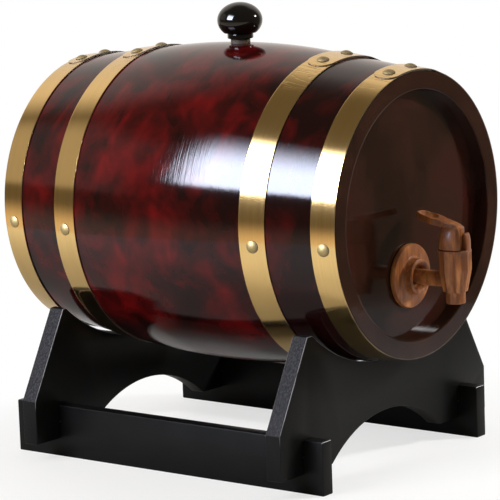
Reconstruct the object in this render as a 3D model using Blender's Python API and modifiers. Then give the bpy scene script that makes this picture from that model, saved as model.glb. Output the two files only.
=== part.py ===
"""Small oak cask for liquor, lying on a black two-board stand, with a wooden tap and a ball stopper.

Lengths are metres and Z is up. The cask's axis runs along Y, with the tap at the -Y end. The origin
is on the floor, at the middle of the space that the whole object takes up.
"""
import math

import bmesh
import bpy
from mathutils import Matrix, Vector

# Cask
CASK_LENGTH = 0.2728
BILGE_RADIUS = 0.1063
END_RADIUS = 0.0925
BEND_HALF_LENGTH = 0.060
AXIS_HEIGHT = 0.1665
STAVE_THICKNESS = 0.0115
STAVE_COUNT = 16
FACETS_PER_STAVE = 3
BEND_STEPS = 8
FIT_GAP = 0.0003

# Chime, croze groove and heads
RECESS_DEPTH = 0.010
CHIME_THICKNESS = 0.0117
CHIME_CHAMFER = 0.0008
CROZE_DEPTH = 0.003
HEAD_THICKNESS = 0.008
CENTRE_BOARD_WIDTH = 0.054
DOWEL_RADIUS = 0.0025
DOWEL_LENGTH = 0.022
DOWEL_HEIGHT = 0.035

# Hoops, as distances of their edges from the middle of the cask
END_HOOP_OUTER = 0.1362
END_HOOP_INNER = 0.1192
BILGE_HOOP_OUTER = 0.0867
BILGE_HOOP_INNER = 0.0682
HOOP_THICKNESS = 0.0012
LAP_START_DEG = -11.25
LAP_END_DEG = 16.5

# Rivets, at angles from the top towards -X
RIVET_HEAD_RADIUS = 0.0041
RIVET_HEAD_HEIGHT = 0.0022
RIVET_SHANK_RADIUS = 0.0013
RIVET_SHANK_LENGTH = 0.0075
LAP_RIVET_NEAR_DEG = 10.5
LAP_RIVET_FAR_DEG = -4.5
FLANK_RIVET_DEG = 95.3

# Stopper, as heights above the bilge; the bung hole lies a little to the rear of the middle
CORK_RADIUS = 0.0065
CORK_TIP_RADIUS = 0.0058
CORK_DEPTH = 0.018
COLLAR_BASE = 0.0030
COLLAR_TOP = 0.0063
COLLAR_RADIUS = 0.0086
BUNG_FROM_MIDDLE = 0.0030
KNOB_RADIUS = 0.01505
KNOB_CENTRE = 0.0150
KNOB_TOP = 0.0270
PEG_RADIUS = 0.0020
PEG_LENGTH = 0.012

# Tap, whose heights are above the axis of its neck
NECK_LENGTH = 0.0364
TAP_ABOVE_CHIME = 0.0406
BARREL_TOP = 0.0201
BARREL_RADIUS = 0.0108
BARREL_BELLY_HEIGHT = 0.007
BARREL_FOOT = -0.0074
BARREL_FOOT_RADIUS = 0.0077
SPOUT_RADIUS = 0.0063
SPOUT_BOTTOM = -0.0149
NECK_RADIUS = 0.0051
TAIL_RADIUS = 0.0074
TAIL_TIP_RADIUS = 0.0066
TAIL_INSIDE_LENGTH = 0.012
BORE_RADIUS = 0.0023

# Rosette round the tap's tail
ROSETTE_RADIUS = 0.0210
ROSETTE_THICKNESS = 0.0037
HUB_RADIUS = 0.0118
HUB_LENGTH = 0.0100

# Tap key
PLUG_TOP_RADIUS = 0.0050
PLUG_TIP_RADIUS = 0.0040
PLUG_TIP_RISE = 0.001
CORE_RADIUS = 0.0063
DOME_RADIUS = 0.0103
DOME_SHOULDER = 0.0240
DOME_TOP = 0.0350
DOME_TOP_RADIUS = 0.0048
LEVER_FRONT = -0.0050
LEVER_CLEARANCE = 0.0092
LEVER_HALF_WIDTH = 0.0062
LEVER_THICKNESS = 0.0038
LEVER_FRONT_HEIGHT = 0.0336
LEVER_SLOPE_DEG = 13.8

# Stop lip on the tap's barrel and the turns that it allows
LIP_START_DEG = -99.0
LIP_END_DEG = -51.0
LIP_INNER_RADIUS = 0.0071
LIP_TOP = 0.0306
KEY_BACK_DEG = 20.0
KEY_OPEN_DEG = 90.0
STOP_CLEARANCE_DEG = 6.0

# Stand
BOARD_THICKNESS = 0.0115
BOARD_CENTRE = 0.10125
BOARD_HALF_WIDTH = 0.1178
BOARD_TIP_HALF_WIDTH = 0.0855
TIP_HEIGHT = 0.0995
KNEE_HEIGHT = 0.0418
FOOT_HEIGHT = 0.0123
SADDLE_RADIUS = 0.1235
ARCH_RADIUS = 0.095
ARCH_TOP = 0.0356
RAIL_OUTER = 0.0941
RAIL_THICKNESS = 0.0102
RAIL_HEIGHT = 0.035
RAIL_FRONT = -0.1222
RAIL_REAR = 0.1328

# Cutters run past what they cut by this much
OVERRUN = 0.004

# Roundness of turned pieces
TURNED_STEPS = 24
SMALL_STEPS = 12
RIVET_STEPS = 10
SHARP_EDGE_DEG = 40.0

# Derived sizes
HALF_LENGTH = CASK_LENGTH / 2
TAPER = (BILGE_RADIUS - END_RADIUS) / (HALF_LENGTH - BEND_HALF_LENGTH / 2)
TAPER_ANGLE = math.atan(TAPER)
STAVE_ANGLE = 2 * math.pi / STAVE_COUNT
FACET_ANGLE = STAVE_ANGLE / FACETS_PER_STAVE
RECESS_RADIUS = END_RADIUS - CHIME_THICKNESS
HEAD_FACE = HALF_LENGTH - RECESS_DEPTH
HEAD_BACK = HEAD_FACE - HEAD_THICKNESS
CROZE_RADIUS = RECESS_RADIUS + CROZE_DEPTH
LAP_RISE = HOOP_THICKNESS + FIT_GAP
TAP_REACH = HEAD_FACE + NECK_LENGTH
TAP_DROP = RECESS_RADIUS - TAP_ABOVE_CHIME
CASK_CENTRE_Y = (TAP_REACH + BARREL_RADIUS - HALF_LENGTH) / 2
LEVER_TIP = NECK_LENGTH - LEVER_CLEARANCE
TAIL_END = NECK_LENGTH + HEAD_THICKNESS + TAIL_INSIDE_LENGTH
LAP_HEIGHT = (FOOT_HEIGHT + RAIL_HEIGHT) / 2


def cask_radius(y):
    """Outer radius of the cask at a distance y from its middle: an arc that runs into straight ends."""
    distance = abs(y)
    if distance <= BEND_HALF_LENGTH:
        return BILGE_RADIUS - TAPER * distance ** 2 / (2 * BEND_HALF_LENGTH)
    return BILGE_RADIUS - TAPER * (distance - BEND_HALF_LENGTH / 2)


# Scene set-up

def clear_scene():
    for old in list(bpy.data.objects):
        bpy.data.objects.remove(old, do_unlink=True)


def new_collection(name):
    collection = bpy.data.collections.new(name)
    bpy.context.scene.collection.children.link(collection)
    return collection


clear_scene()
PARTS = new_collection("oak_cask_dispenser")
CUTTERS = new_collection("cutters")


def new_frame(name, location, parent=None):
    """An empty that carries pieces and marks the line along which, or round which, they move."""
    frame = bpy.data.objects.new(name, None)
    frame.empty_display_size = BILGE_RADIUS
    frame.location = location
    frame.parent = parent
    PARTS.objects.link(frame)
    return frame


CASK = new_frame("cask_axis", (0, CASK_CENTRE_Y, AXIS_HEIGHT))
STOPPER = new_frame("stopper_axis", (0, BUNG_FROM_MIDDLE, BILGE_RADIUS), CASK)
TAP = new_frame("tap_key_axis", (0, -TAP_REACH, -TAP_DROP), CASK)
STAND = new_frame("stand_middle", (0, CASK_CENTRE_Y, 0))


# Materials

def principled(name, colour, roughness, metallic=0.0):
    material = bpy.data.materials.new(name)
    material.use_nodes = True
    shader = material.node_tree.nodes["Principled BSDF"]
    shader.inputs["Base Color"].default_value = (*colour, 1.0)
    shader.inputs["Roughness"].default_value = roughness
    shader.inputs["Metallic"].default_value = metallic
    return material


STAVE_LACQUER = principled("stave_lacquer", (0.105, 0.010, 0.010), 0.12)
HEAD_LACQUER = principled("head_lacquer", (0.030, 0.014, 0.011), 0.25)
HOOP_BRASS = principled("hoop_brass", (0.70, 0.48, 0.20), 0.28, 1.0)
RIVET_BRASS = principled("rivet_brass", (0.74, 0.52, 0.24), 0.25, 1.0)
KNOB_BLACK = principled("knob_black", (0.012, 0.012, 0.012), 0.08)
CORK_BROWN = principled("cork_brown", (0.42, 0.27, 0.14), 0.85)
TAP_WOOD = principled("tap_wood", (0.36, 0.15, 0.055), 0.38)
DOWEL_WOOD = principled("dowel_wood", (0.50, 0.35, 0.19), 0.7)
STAND_BLACK = principled("stand_black", (0.018, 0.018, 0.018), 0.42)


# Building blocks

def add_object(name, mesh, parent, material=None, location=(0, 0, 0), rotation=(0, 0, 0)):
    piece = bpy.data.objects.new(name, mesh)
    piece.parent = parent
    piece.location = location
    piece.rotation_euler = rotation
    PARTS.objects.link(piece)
    if material and not mesh.materials:
        mesh.materials.append(material)
    return piece


def add_cutter(name, mesh, parent, location=(0, 0, 0), rotation=(0, 0, 0)):
    cutter = bpy.data.objects.new(name, mesh)
    cutter.parent = parent
    cutter.location = location
    cutter.rotation_euler = rotation
    cutter.hide_render = True
    cutter.display_type = "WIRE"
    CUTTERS.objects.link(cutter)
    return cutter


def cut(piece, cutter, operation="DIFFERENCE"):
    modifier = piece.modifiers.new(cutter.name, "BOOLEAN")
    modifier.operation = operation
    modifier.solver = "EXACT"
    modifier.object = cutter
    return modifier


def mesh_from(shape, name, smooth=True):
    """A mesh from a finished bmesh, with its faces turned outwards."""
    bmesh.ops.recalc_face_normals(shape, faces=shape.faces[:])
    mesh = bpy.data.meshes.new(name)
    shape.to_mesh(mesh)
    shape.free()
    if smooth:
        mesh.shade_smooth()
        mesh.set_sharp_from_angle(angle=math.radians(SHARP_EDGE_DEG))
    return mesh


def cone_mesh(name, lower_radius, upper_radius, length, steps=TURNED_STEPS):
    """A cylinder or cone frustum along Z, from 0 to its length."""
    shape = bmesh.new()
    bmesh.ops.create_cone(shape, cap_ends=True, segments=steps, radius1=lower_radius,
                          radius2=upper_radius, depth=length,
                          matrix=Matrix.Translation((0, 0, length / 2)))
    return mesh_from(shape, name)


def box_mesh(name, low, high):
    """A box between two corners."""
    size = Vector(high) - Vector(low)
    middle = (Vector(high) + Vector(low)) / 2
    shape = bmesh.new()
    bmesh.ops.create_cube(shape, size=1.0, matrix=Matrix.Translation(middle) @ Matrix.Diagonal((*size, 1)))
    return mesh_from(shape, name, smooth=False)


def turned_piece(name, profile, parent, material, steps=TURNED_STEPS, rotation=(0, 0, 0)):
    """A piece turned round Z from a profile of (radius, height) that runs down its outer side."""
    mesh = bpy.data.meshes.new(name)
    edges = [(i, i + 1) for i in range(len(profile) - 1)]
    mesh.from_pydata([(radius, 0, height) for radius, height in profile], edges, [])
    piece = add_object(name, mesh, parent, material, rotation=rotation)
    screw = piece.modifiers.new("turn", "SCREW")
    screw.steps = steps
    screw.render_steps = steps
    screw.use_merge_vertices = True
    screw.merge_threshold = FIT_GAP / 10
    screw.use_smooth_shade = True
    return piece


def sector_mesh(name, profile, start_deg, end_deg, steps):
    """A wedge of a turned shape: a closed profile of (radius, height) swept round Z between two angles."""
    shape = bmesh.new()
    start = math.radians(start_deg)
    corners = [shape.verts.new((radius * math.cos(start), radius * math.sin(start), height))
               for radius, height in profile]
    shape.faces.new(corners)
    bmesh.ops.spin(shape, geom=shape.verts[:] + shape.edges[:] + shape.faces[:], cent=(0, 0, 0),
                   axis=(0, 0, 1), angle=math.radians(end_deg - start_deg), steps=steps)
    return mesh_from(shape, name)


def outline_mesh(name, points, thickness):
    """A flat board from its outline in X and Z, centred on Y."""
    curve = bpy.data.curves.new(name, "CURVE")
    curve.dimensions = "2D"
    curve.fill_mode = "BOTH"
    curve.extrude = thickness / 2
    spline = curve.splines.new("POLY")
    spline.points.add(len(points) - 1)
    for point, (x, z) in zip(spline.points, points):
        point.co = (x, z, 0, 1)
    spline.use_cyclic_u = True
    carrier = bpy.data.objects.new(name, curve)
    PARTS.objects.link(carrier)
    graph = bpy.context.evaluated_depsgraph_get()
    flat = bpy.data.meshes.new_from_object(carrier.evaluated_get(graph))
    bpy.data.objects.remove(carrier, do_unlink=True)
    shape = bmesh.new()
    shape.from_mesh(flat)
    bmesh.ops.remove_doubles(shape, verts=shape.verts[:], dist=FIT_GAP / 10)
    bmesh.ops.rotate(shape, verts=shape.verts[:], cent=(0, 0, 0), matrix=Matrix.Rotation(math.pi / 2, 3, "X"))
    return mesh_from(shape, name, smooth=False)


def polar(radius, y, degrees):
    """A point round the cask's axis, at an angle from the top towards -X."""
    angle = math.radians(degrees)
    return Vector((-radius * math.sin(angle), y, radius * math.cos(angle)))


# Staves

def stave_profile():
    """The stave's section along the cask, as (y, radius): out along the outside, back along the inside."""
    bend = [-BEND_HALF_LENGTH + 2 * BEND_HALF_LENGTH * i / BEND_STEPS for i in range(BEND_STEPS + 1)]
    outside = [(y, cask_radius(y)) for y in [-HALF_LENGTH, *bend, HALF_LENGTH]]
    groove_out = HEAD_FACE + FIT_GAP
    groove_in = HEAD_BACK - FIT_GAP
    chime = [(HALF_LENGTH, RECESS_RADIUS + CHIME_CHAMFER), (HALF_LENGTH - CHIME_CHAMFER, RECESS_RADIUS),
             (groove_out, RECESS_RADIUS), (groove_out, CROZE_RADIUS), (groove_in, CROZE_RADIUS),
             (groove_in, cask_radius(groove_in) - STAVE_THICKNESS)]
    inside = [(y, cask_radius(y) - STAVE_THICKNESS) for y in reversed(bend)]
    return outside + chime + inside + [(-y, radius) for y, radius in reversed(chime)]


def stave_mesh():
    half = STAVE_ANGLE / 2 - FIT_GAP / (2 * RECESS_RADIUS)
    shape = bmesh.new()
    corners = [shape.verts.new((radius * math.sin(-half), y, radius * math.cos(half)))
               for y, radius in stave_profile()]
    shape.faces.new(corners)
    bmesh.ops.spin(shape, geom=shape.verts[:] + shape.edges[:] + shape.faces[:], cent=(0, 0, 0),
                   axis=(0, 1, 0), angle=2 * half, steps=FACETS_PER_STAVE)
    return mesh_from(shape, "stave")


def make_staves(rivet_holes):
    mesh = stave_mesh()
    bung_hole = add_cutter("bung_hole", cone_mesh("bung_hole", CORK_RADIUS + FIT_GAP, CORK_RADIUS + FIT_GAP,
                                                  STAVE_THICKNESS + 2 * OVERRUN), STOPPER,
                           location=(0, 0, -STAVE_THICKNESS - OVERRUN))
    quarter = STAVE_COUNT // 4
    for index in range(STAVE_COUNT):
        name = "bung_stave" if index == 0 else f"stave_{index:02d}"
        stave = add_object(name, mesh, CASK, STAVE_LACQUER, rotation=(0, index * STAVE_ANGLE, 0))
        if index == 0:
            cut(stave, bung_hole)
        if index in (0, quarter, 3 * quarter):
            cut(stave, rivet_holes)


# Heads

def head_board_mesh(name, low_x, high_x):
    """A slice of the round head, from its front face at Y = 0 inwards."""
    radius = CROZE_RADIUS - FIT_GAP
    shape = bmesh.new()
    turn = Matrix.Rotation(math.pi / 2, 4, "X") @ Matrix.Rotation(FACET_ANGLE / 2, 4, "Z")
    bmesh.ops.create_circle(shape, cap_ends=True, segments=STAVE_COUNT * FACETS_PER_STAVE, radius=radius,
                            matrix=turn)
    for x, side in ((low_x, -1), (high_x, 1)):
        if abs(x) < radius:
            bmesh.ops.bisect_plane(shape, geom=shape.verts[:] + shape.edges[:] + shape.faces[:],
                                   plane_co=(x, 0, 0), plane_no=(side, 0, 0), clear_outer=True)
    grown = bmesh.ops.extrude_face_region(shape, geom=shape.faces[:])
    verts = [item for item in grown["geom"] if isinstance(item, bmesh.types.BMVert)]
    bmesh.ops.translate(shape, verts=verts, vec=(0, HEAD_THICKNESS, 0))
    return mesh_from(shape, name, smooth=False)


def make_head(end, front_y, rotation):
    """Three boards held edge to edge by dowels, with their rim in the croze groove."""
    seam = CENTRE_BOARD_WIDTH / 2
    rim = CROZE_RADIUS
    spans = {"left": (-rim, -seam - FIT_GAP / 2), "centre": (-seam + FIT_GAP / 2, seam - FIT_GAP / 2),
             "right": (seam + FIT_GAP / 2, rim)}
    boards = {}
    for side, (low_x, high_x) in spans.items():
        name = f"{end}_head_{side}_board"
        boards[side] = add_object(name, head_board_mesh(name, low_x, high_x), CASK, HEAD_LACQUER,
                                  location=(0, front_y, 0), rotation=rotation)
    turned = rotation[2] != 0
    middle_y = front_y + (-1 if turned else 1) * HEAD_THICKNESS / 2
    dowel = cone_mesh(f"{end}_dowel", DOWEL_RADIUS, DOWEL_RADIUS, DOWEL_LENGTH, SMALL_STEPS)
    hole = cone_mesh(f"{end}_dowel_hole", DOWEL_RADIUS + FIT_GAP, DOWEL_RADIUS + FIT_GAP,
                     DOWEL_LENGTH + 2 * FIT_GAP, SMALL_STEPS)
    for side, x in (("left", -seam), ("right", seam)):
        board = boards[("right" if side == "left" else "left") if turned else side]
        for level, z in (("lower", -DOWEL_HEIGHT), ("upper", DOWEL_HEIGHT)):
            name = f"{end}_{side}_{level}_dowel"
            lying = (0, math.pi / 2, 0)
            add_object(name, dowel, CASK, DOWEL_WOOD, location=(x - DOWEL_LENGTH / 2, middle_y, z),
                       rotation=lying)
            cutter = add_cutter(name + "_hole", hole, CASK, rotation=lying,
                                location=(x - DOWEL_LENGTH / 2 - FIT_GAP, middle_y, z))
            cut(board, cutter)
            cut(boards["centre"], cutter)
    return boards


def make_heads():
    front = make_head("front", -HEAD_FACE, (0, 0, 0))
    make_head("rear", HEAD_FACE, (0, 0, math.pi))
    bore = TAIL_RADIUS + FIT_GAP
    tap_bore = add_cutter("tap_bore", cone_mesh("tap_bore", bore, bore, HEAD_THICKNESS + 2 * OVERRUN), TAP,
                          location=(0, NECK_LENGTH + HEAD_THICKNESS + OVERRUN, 0),
                          rotation=(math.pi / 2, 0, 0))
    cut(front["centre"], tap_bore)


# Hoops and rivets

def hoop_angles():
    """Angles of the strap's stations and how far each is lifted: it ends by lapping over its own start."""
    step = math.degrees(FACET_ANGLE)
    once_round = round(360 / step)
    angles = [(LAP_START_DEG + i * step, 0.0) for i in range(once_round)]
    angle = LAP_START_DEG + 360
    while angle < LAP_END_DEG + 360:
        angles.append((angle, LAP_RISE))
        angle += step
    angles.append((LAP_END_DEG + 360, LAP_RISE))
    return angles


def make_hoop(name, outer, inner, rivet_holes):
    """A strap between two distances from the middle of the cask, on the side of their sign."""
    shape = bmesh.new()
    previous = None
    for degrees, lift in hoop_angles():
        pair = [shape.verts.new(polar(cask_radius(y) + FIT_GAP + lift, y, degrees)) for y in (outer, inner)]
        if previous:
            shape.faces.new((previous[0], previous[1], pair[1], pair[0]))
        previous = pair
    middle = Vector((0, (outer + inner) / 2, 0))
    shape.normal_update()
    for face in shape.faces:
        if face.normal.dot(face.calc_center_median() - middle) < 0:
            face.normal_flip()
    mesh = bpy.data.meshes.new(name)
    shape.to_mesh(mesh)
    shape.free()
    mesh.shade_smooth()
    mesh.set_sharp_from_angle(angle=math.radians(SHARP_EDGE_DEG))
    hoop = add_object(name, mesh, CASK, HOOP_BRASS)
    wall = hoop.modifiers.new("strap", "SOLIDIFY")
    wall.thickness = HOOP_THICKNESS
    wall.offset = 1.0
    wall.use_even_offset = True
    cut(hoop, rivet_holes)
    return hoop


def rivet_profile():
    """A domed head over a straight shank, from the top down; the head's underside is at height 0."""
    ball = (RIVET_HEAD_RADIUS ** 2 + RIVET_HEAD_HEIGHT ** 2) / (2 * RIVET_HEAD_HEIGHT)
    reach = math.asin(RIVET_HEAD_RADIUS / ball)
    dome = [(ball * math.sin(reach * i / 3), RIVET_HEAD_HEIGHT - ball * (1 - math.cos(reach * i / 3)))
            for i in range(4)]
    return dome + [(RIVET_SHANK_RADIUS, 0), (RIVET_SHANK_RADIUS, -RIVET_SHANK_LENGTH), (0, -RIVET_SHANK_LENGTH)]


HOOPS = {"front": (-END_HOOP_OUTER, -END_HOOP_INNER), "front_bilge": (-BILGE_HOOP_OUTER, -BILGE_HOOP_INNER),
         "rear_bilge": (BILGE_HOOP_OUTER, BILGE_HOOP_INNER), "rear": (END_HOOP_OUTER, END_HOOP_INNER)}
RIVETS = {"lap_near": (LAP_RIVET_NEAR_DEG, LAP_RISE), "lap_far": (LAP_RIVET_FAR_DEG, LAP_RISE),
          "left": (FLANK_RIVET_DEG, 0.0), "right": (-FLANK_RIVET_DEG, 0.0)}


def rivet_seat(hoop, rivet):
    """Where a rivet's head sits, and the turn that stands it square on the tapering strap."""
    outer, inner = HOOPS[hoop]
    degrees, lift = RIVETS[rivet]
    y = (outer + inner) / 2
    radius = cask_radius(y) + lift + (HOOP_THICKNESS + 2 * FIT_GAP) / math.cos(TAPER_ANGLE)
    tilt = TAPER_ANGLE if y < 0 else -TAPER_ANGLE
    return polar(radius, y, degrees), (tilt, -math.radians(degrees), 0)


def make_rivet_holes():
    """One cutter that holds the holes of all the rivets."""
    shape = bmesh.new()
    depth = RIVET_SHANK_LENGTH + FIT_GAP
    for hoop in HOOPS:
        for rivet in RIVETS:
            seat, (tilt, turn, _) = rivet_seat(hoop, rivet)
            place = (Matrix.Translation(seat) @ Matrix.Rotation(turn, 4, "Y") @ Matrix.Rotation(tilt, 4, "X")
                     @ Matrix.Translation((0, 0, (FIT_GAP - depth) / 2)))
            bmesh.ops.create_cone(shape, cap_ends=True, segments=RIVET_STEPS, depth=depth + FIT_GAP,
                                  radius1=RIVET_SHANK_RADIUS + FIT_GAP, radius2=RIVET_SHANK_RADIUS + FIT_GAP,
                                  matrix=place)
    return add_cutter("rivet_holes", mesh_from(shape, "rivet_holes"), CASK)


def make_rivets():
    mesh = None
    for hoop in HOOPS:
        for rivet in RIVETS:
            seat, turn = rivet_seat(hoop, rivet)
            name = f"{hoop}_hoop_rivet_{rivet}"
            piece = turned_piece(name, rivet_profile(), CASK, RIVET_BRASS, RIVET_STEPS, turn)
            piece.location = seat
            if mesh:
                spare = piece.data
                piece.data = mesh
                bpy.data.meshes.remove(spare)
            mesh = piece.data


# Stopper

def make_stopper():
    """A black ball knob whose peg is glued into a tapered cork."""
    half_height = KNOB_TOP - KNOB_CENTRE
    low = -math.asin((KNOB_CENTRE - COLLAR_TOP) / half_height)
    turns = [math.pi / 2 + (low - math.pi / 2) * i / SMALL_STEPS for i in range(SMALL_STEPS + 1)]
    ball = [(KNOB_RADIUS * math.cos(a) if i else 0, KNOB_CENTRE + half_height * math.sin(a))
            for i, a in enumerate(turns)]
    peg_bottom = COLLAR_BASE - PEG_LENGTH
    profile = ball + [(COLLAR_RADIUS, COLLAR_TOP), (COLLAR_RADIUS, COLLAR_BASE), (PEG_RADIUS, COLLAR_BASE),
                      (PEG_RADIUS, peg_bottom), (0, peg_bottom)]
    turned_piece("stopper_knob", profile, STOPPER, KNOB_BLACK)
    top = COLLAR_BASE - FIT_GAP
    socket = PEG_RADIUS + FIT_GAP
    cork = [(0, peg_bottom - FIT_GAP), (socket, peg_bottom - FIT_GAP), (socket, top), (CORK_RADIUS, top),
            (CORK_RADIUS, -STAVE_THICKNESS / 2), (CORK_TIP_RADIUS, -CORK_DEPTH), (0, -CORK_DEPTH)]
    turned_piece("stopper_cork", cork, STOPPER, CORK_BROWN)


# Tap

def dome_radius(height):
    """Radius of the key's domed head: upright to its shoulder, then an elliptical quarter to its top."""
    if height <= DOME_SHOULDER:
        return DOME_RADIUS
    rise = min((height - DOME_SHOULDER) / (DOME_TOP - DOME_SHOULDER), 1.0)
    return DOME_TOP_RADIUS + (DOME_RADIUS - DOME_TOP_RADIUS) * math.sqrt(1 - rise ** 2)


def dome_heights(low, high, count):
    return [low + (high - low) * i / count for i in range(count + 1)]


def make_tap_body():
    """The upright barrel with its spout and stop lip, and the neck and tail that go into the head."""
    edge = FIT_GAP
    belly = BARREL_RADIUS
    barrel = [(0, BARREL_TOP), (belly - edge, BARREL_TOP), (belly, BARREL_TOP - edge),
              (belly, BARREL_BELLY_HEIGHT), (BARREL_FOOT_RADIUS, BARREL_FOOT),
              (SPOUT_RADIUS, BARREL_FOOT - edge), (SPOUT_RADIUS, SPOUT_BOTTOM), (0, SPOUT_BOTTOM)]
    body = turned_piece("tap_body", barrel, TAP, TAP_WOOD)
    lying = (-math.pi / 2, 0, 0)
    shoulder = NECK_LENGTH - HUB_LENGTH / 2
    neck = cone_mesh("tap_neck", NECK_RADIUS, NECK_RADIUS, shoulder + FIT_GAP)
    cut(body, add_cutter("tap_neck", neck, TAP, rotation=lying), "UNION")
    tail = cone_mesh("tap_tail", TAIL_RADIUS, TAIL_TIP_RADIUS, TAIL_END - shoulder)
    cut(body, add_cutter("tap_tail", tail, TAP, location=(0, shoulder, 0), rotation=lying), "UNION")
    low = BARREL_TOP - 2 * edge
    heights = dome_heights(DOME_SHOULDER, LIP_TOP, 3)
    lip = [(LIP_INNER_RADIUS, low), (DOME_RADIUS, low)] + [(dome_radius(h), h) for h in heights]
    lip.append((LIP_INNER_RADIUS, LIP_TOP))
    steps = max(3, round((LIP_END_DEG - LIP_START_DEG) * TURNED_STEPS / 360))
    cut(body, add_cutter("stop_lip", sector_mesh("stop_lip", lip, LIP_START_DEG, LIP_END_DEG, steps), TAP), "UNION")
    length = BARREL_TOP - SPOUT_BOTTOM
    slope = (PLUG_TOP_RADIUS - PLUG_TIP_RADIUS) / length
    seat = cone_mesh("key_seat", PLUG_TIP_RADIUS + FIT_GAP - slope * OVERRUN,
                     PLUG_TOP_RADIUS + FIT_GAP + slope * OVERRUN, length + 2 * OVERRUN)
    cut(body, add_cutter("key_seat", seat, TAP, location=(0, 0, SPOUT_BOTTOM - OVERRUN)))
    bore = cone_mesh("tap_way", BORE_RADIUS, BORE_RADIUS, TAIL_END + OVERRUN, SMALL_STEPS)
    half_facet = math.pi / SMALL_STEPS
    cut(body, add_cutter("tap_way", bore, TAP, rotation=(-math.pi / 2, half_facet, 0)))


def make_rosette():
    """The turned collar that stands against the head round the tap's tail."""
    bore = TAIL_RADIUS + FIT_GAP
    back = -NECK_LENGTH + FIT_GAP
    face = back + ROSETTE_THICKNESS
    hub = back + HUB_LENGTH
    round_over = ROSETTE_THICKNESS / 3
    profile = [(bore, hub - round_over), (bore + round_over, hub), (HUB_RADIUS - round_over, hub),
               (HUB_RADIUS, hub - round_over), (HUB_RADIUS + round_over, face + round_over / 2),
               (ROSETTE_RADIUS - round_over, face), (ROSETTE_RADIUS, face - round_over),
               (ROSETTE_RADIUS, back), (bore, back), (bore, hub - round_over)]
    turned_piece("tap_rosette", profile, TAP, TAP_WOOD, rotation=(math.pi / 2, 0, 0))


def lever_mesh():
    """A leaf-shaped paddle that rises from over the plug towards the cask."""
    shape = bmesh.new()
    length = (LEVER_TIP - LEVER_FRONT) / math.cos(math.radians(LEVER_SLOPE_DEG))
    bmesh.ops.create_circle(shape, cap_ends=True, segments=TURNED_STEPS, radius=1.0)
    for vert in shape.verts:
        vert.co.x *= LEVER_HALF_WIDTH
        vert.co.y = (vert.co.y + 1) * length / 2
    grown = bmesh.ops.extrude_face_region(shape, geom=shape.faces[:])
    verts = [item for item in grown["geom"] if isinstance(item, bmesh.types.BMVert)]
    bmesh.ops.translate(shape, verts=verts, vec=(0, 0, LEVER_THICKNESS))
    bmesh.ops.translate(shape, verts=shape.verts[:], vec=(0, 0, -LEVER_THICKNESS / 2))
    bmesh.ops.recalc_face_normals(shape, faces=shape.faces[:])
    rims = [edge for edge in shape.edges if edge.verts[0].co.z * edge.verts[1].co.z > 0]
    bmesh.ops.bevel(shape, geom=rims, offset=LEVER_THICKNESS / 4, segments=1, affect="EDGES", profile=0.5,
                    material=-1)
    return mesh_from(shape, "tap_lever")


def make_key():
    """The tapered plug with its domed head and lever; its port faces -X at rest, when the tap is shut."""
    tip = SPOUT_BOTTOM + PLUG_TIP_RISE
    seat = BARREL_TOP + FIT_GAP
    heights = dome_heights(DOME_SHOULDER, DOME_TOP, 5)
    profile = [(0, DOME_TOP)] + [(dome_radius(h), h) for h in reversed(heights)]
    profile += [(DOME_RADIUS, seat), (PLUG_TOP_RADIUS, seat), (PLUG_TIP_RADIUS, tip), (0, tip)]
    key = turned_piece("tap_key", profile, TAP, TAP_WOOD)
    near = LIP_START_DEG - KEY_BACK_DEG - STOP_CLEARANCE_DEG
    far = LIP_END_DEG + KEY_OPEN_DEG + STOP_CLEARANCE_DEG
    clearing = [(CORE_RADIUS, BARREL_TOP), (DOME_RADIUS + OVERRUN, BARREL_TOP),
                (DOME_RADIUS + OVERRUN, DOME_TOP + OVERRUN), (CORE_RADIUS, DOME_TOP + OVERRUN)]
    steps = round((far - near) * TURNED_STEPS / 360)
    cut(key, add_cutter("lip_clearing", sector_mesh("lip_clearing", clearing, near, far, steps), TAP))
    lever = add_cutter("tap_lever", lever_mesh(), TAP, location=(0, LEVER_FRONT, LEVER_FRONT_HEIGHT),
                       rotation=(math.radians(LEVER_SLOPE_DEG), 0, 0))
    cut(key, lever, "UNION")
    way = cone_mesh("key_way", BORE_RADIUS, BORE_RADIUS, 2 * BORE_RADIUS - tip + OVERRUN, SMALL_STEPS)
    cut(key, add_cutter("key_way", way, TAP, location=(0, 0, tip - OVERRUN)))
    port = cone_mesh("key_port", BORE_RADIUS, BORE_RADIUS, PLUG_TOP_RADIUS + OVERRUN, SMALL_STEPS)
    cut(key, add_cutter("key_port", port, TAP, rotation=(0, -math.pi / 2, 0)))


# Stand

def board_outline():
    """Outline of a board before its saddle, arch and notches are cut, as (x, z) all the way round."""
    right = [(BOARD_HALF_WIDTH, FOOT_HEIGHT), (BOARD_HALF_WIDTH, KNEE_HEIGHT), (BOARD_TIP_HALF_WIDTH, TIP_HEIGHT)]
    return right + [(-x, z) for x, z in reversed(right)]


def saddle_cutter(name, side):
    """A cone that follows the cask's taper, so that the cask bears on the board's whole thickness."""
    outer = BOARD_CENTRE + BOARD_THICKNESS / 2 + OVERRUN
    inner = BOARD_CENTRE - BOARD_THICKNESS / 2 - OVERRUN
    seat = AXIS_HEIGHT - cask_radius(BOARD_CENTRE) - FIT_GAP
    centre = seat + SADDLE_RADIUS
    outer_radius = SADDLE_RADIUS - TAPER * (outer - BOARD_CENTRE)
    inner_radius = SADDLE_RADIUS + TAPER * (BOARD_CENTRE - inner)
    mesh = cone_mesh(name, outer_radius, inner_radius, outer - inner, 2 * STAVE_COUNT * FACETS_PER_STAVE)
    return add_cutter(name, mesh, STAND, location=(0, side * outer, centre),
                      rotation=(side * math.pi / 2, 0, 0))


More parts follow.
